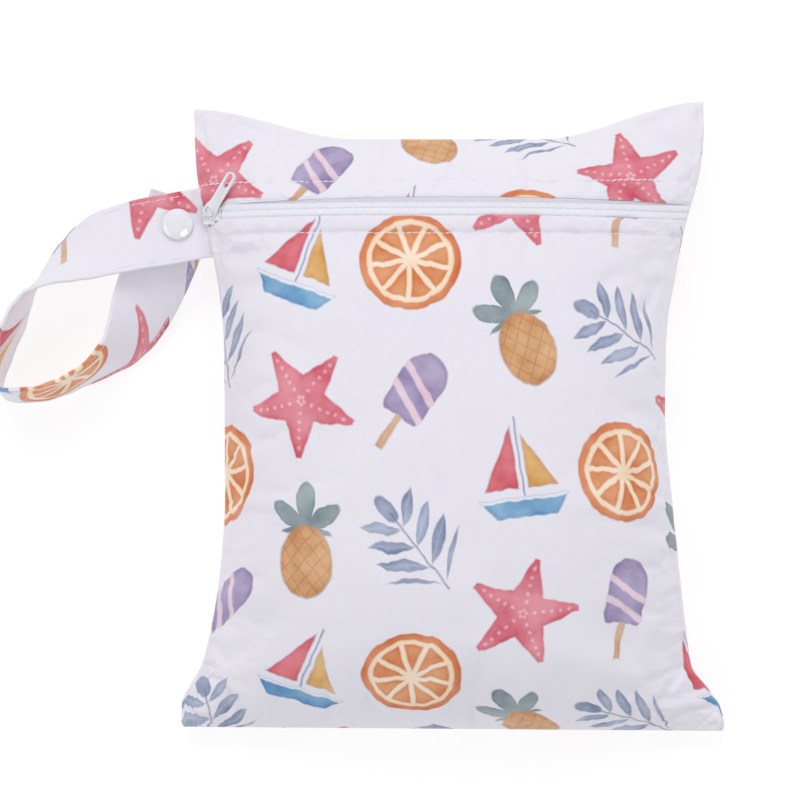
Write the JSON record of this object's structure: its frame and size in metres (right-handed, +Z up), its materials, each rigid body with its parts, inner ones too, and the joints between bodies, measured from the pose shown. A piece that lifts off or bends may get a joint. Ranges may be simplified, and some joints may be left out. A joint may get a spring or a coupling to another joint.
{
  "type": "zippered diaper storage bag",
  "caption": "Small stuffed zip pouch of white printed laminated cloth lying on its back, with a coil zipper near its top edge, a swinging pull tab and a snap-closed wrist loop.",
  "frame": {"origin": "the middle of the flattened patch of the back panel that rests on the surface", "axes": "+X across the pouch, away from the wrist loop; +Y from the bottom seam towards the zipper and the top edge; +Z up from the surface, out of the front panel"},
  "size_m": [0.2835, 0.2431, 0.0602],
  "materials": {
    "printed_cloth": "smooth laminated polyester with a printed pattern",
    "strap_cloth": "the same printed cloth folded and edge-stitched",
    "zipper_tape": "white woven tape",
    "zipper_nylon": "white nylon coil",
    "zipper_metal": "white enamel on die-cast metal",
    "snap_plastic": "glossy white moulded plastic"
  },
  "bodies": {
    "bag": {"front_lower_panel": "printed_cloth", "front_upper_panel": "printed_cloth", "back_panel": "printed_cloth", "zipper_tape_upper": "zipper_tape", "zipper_tape_lower": "zipper_tape", "zipper_coil": "zipper_nylon", "zipper_slider": "zipper_metal", "strap_loop": "strap_cloth", "snap_cap": "snap_plastic", "snap_clasp": "snap_plastic", "snap_back_cap": "snap_plastic"},
    "zip_pull": {"zipper_pull": "zipper_metal"}
  },
  "joints": [
    {"name": "pull_swing", "type": "hinge", "parent": "bag", "child": "zip_pull", "pos_m": [-0.09287, 0.07689, 0.02381], "axis": [0.6553, -0.5838, 0.4793], "range_deg": [0, 145]}
  ]
}
